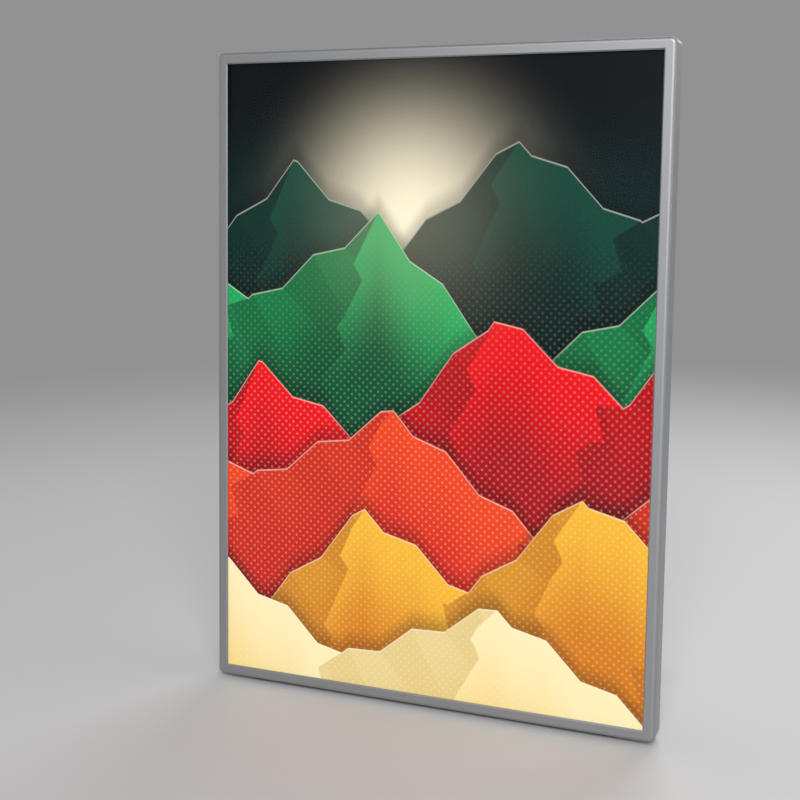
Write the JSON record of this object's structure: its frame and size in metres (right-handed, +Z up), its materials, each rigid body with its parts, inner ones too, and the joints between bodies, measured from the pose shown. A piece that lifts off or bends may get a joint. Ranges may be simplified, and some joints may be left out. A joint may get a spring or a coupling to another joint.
{
  "type": "poster light box",
  "caption": "Slim LED poster light box: an edge-lit panel in a mitred silver frame, with a lift-off magnetic front cover, a side switch and folding rear feet.",
  "frame": {"origin": "on the table, under the middle of the rubber base strip", "axes": "+Z up, -Y out of the poster towards the viewer, +X to the viewer's right. The panel leans 3 degrees back, about the X axis."},
  "size_m": [0.3086, 0.1221, 0.4325],
  "materials": {
    "silver_frame": "satin anodised",
    "clear_acrylic": "clear, polished",
    "guide_acrylic": "clear, with a printed dot pattern",
    "printed_film": "printed translucent film, lit from behind",
    "opal_acrylic": "opal, satin",
    "white_film": "white, matt",
    "dark_foam": "closed-cell foam",
    "circuit_board": "green solder mask",
    "led_package": "moulded lens",
    "magnet": "nickel plated",
    "zinc_steel": "zinc plated",
    "die_cast": "as cast",
    "white_panel": "white powder coat",
    "black_rubber": "matt",
    "black_plastic": "moulded, fine texture",
    "contact_brass": "bright",
    "red_insulation": "extruded",
    "black_insulation": "extruded",
    "white_nylon": "moulded",
    "dark_steel": "black powder coat",
    "dark_nylon": "moulded, spark texture"
  },
  "bodies": {
    "frame": {"poster_print": "printed_film", "diffuser_sheet": "opal_acrylic", "light_guide_plate": "guide_acrylic", "reflector_sheet": "white_film", "foam_pads": "dark_foam", "left_led_board": "circuit_board", "right_led_board": "circuit_board", "left_leds": "led_package", "right_leds": "led_package", "top_rail": "silver_frame", "bottom_rail": "silver_frame", "left_rail": "silver_frame", "right_rail": "silver_frame", "keeper_strips": "zinc_steel", "corner_keys": "die_cast", "corner_screws": "zinc_steel", "back_panel": "white_panel", "back_panel_screws": "zinc_steel", "base_strip": "black_rubber", "control_board": "circuit_board", "board_parts": "black_plastic", "board_screws": "zinc_steel", "board_nuts": "contact_brass", "dc_jack": "black_plastic", "jack_pin": "contact_brass", "switch_body": "zinc_steel", "positive_leads": "red_insulation", "negative_leads": "black_insulation", "left_foot_bracket": "dark_steel", "right_foot_bracket": "dark_steel", "left_hinge_pin": "zinc_steel", "right_hinge_pin": "zinc_steel", "hinge_washers": "white_nylon", "pin_clips": "zinc_steel", "bracket_screws": "zinc_steel", "bracket_nuts": "zinc_steel"},
    "front_cover": {"front_bezel": "silver_frame", "cover_lens": "clear_acrylic", "cover_magnets": "magnet"},
    "switch": {"switch_knob": "black_plastic"},
    "left_foot": {"left_foot_arm": "dark_nylon", "left_foot_tip": "black_rubber"},
    "right_foot": {"right_foot_arm": "dark_nylon", "right_foot_tip": "black_rubber"}
  },
  "joints": [
    {"name": "front_cover_lift", "type": "slide", "parent": "frame", "child": "front_cover", "axis": [0, -0.9986, 0.0523], "range_m": [0, 0.05]},
    {"name": "switch_slide", "type": "slide", "parent": "frame", "child": "switch", "axis": [0, 0.0523, 0.9986], "range_m": [-0.004, 0]},
    {"name": "left_foot_swing", "type": "hinge", "parent": "frame", "child": "left_foot", "pos_m": [-0.125, 0.01397, 0.00091], "axis": [0, -0.0523, -0.9986], "range_deg": [0, 90]},
    {"name": "right_foot_swing", "type": "hinge", "parent": "frame", "child": "right_foot", "pos_m": [0.125, 0.01397, 0.00091], "axis": [0, 0.0523, 0.9986], "range_deg": [0, 90]}
  ]
}
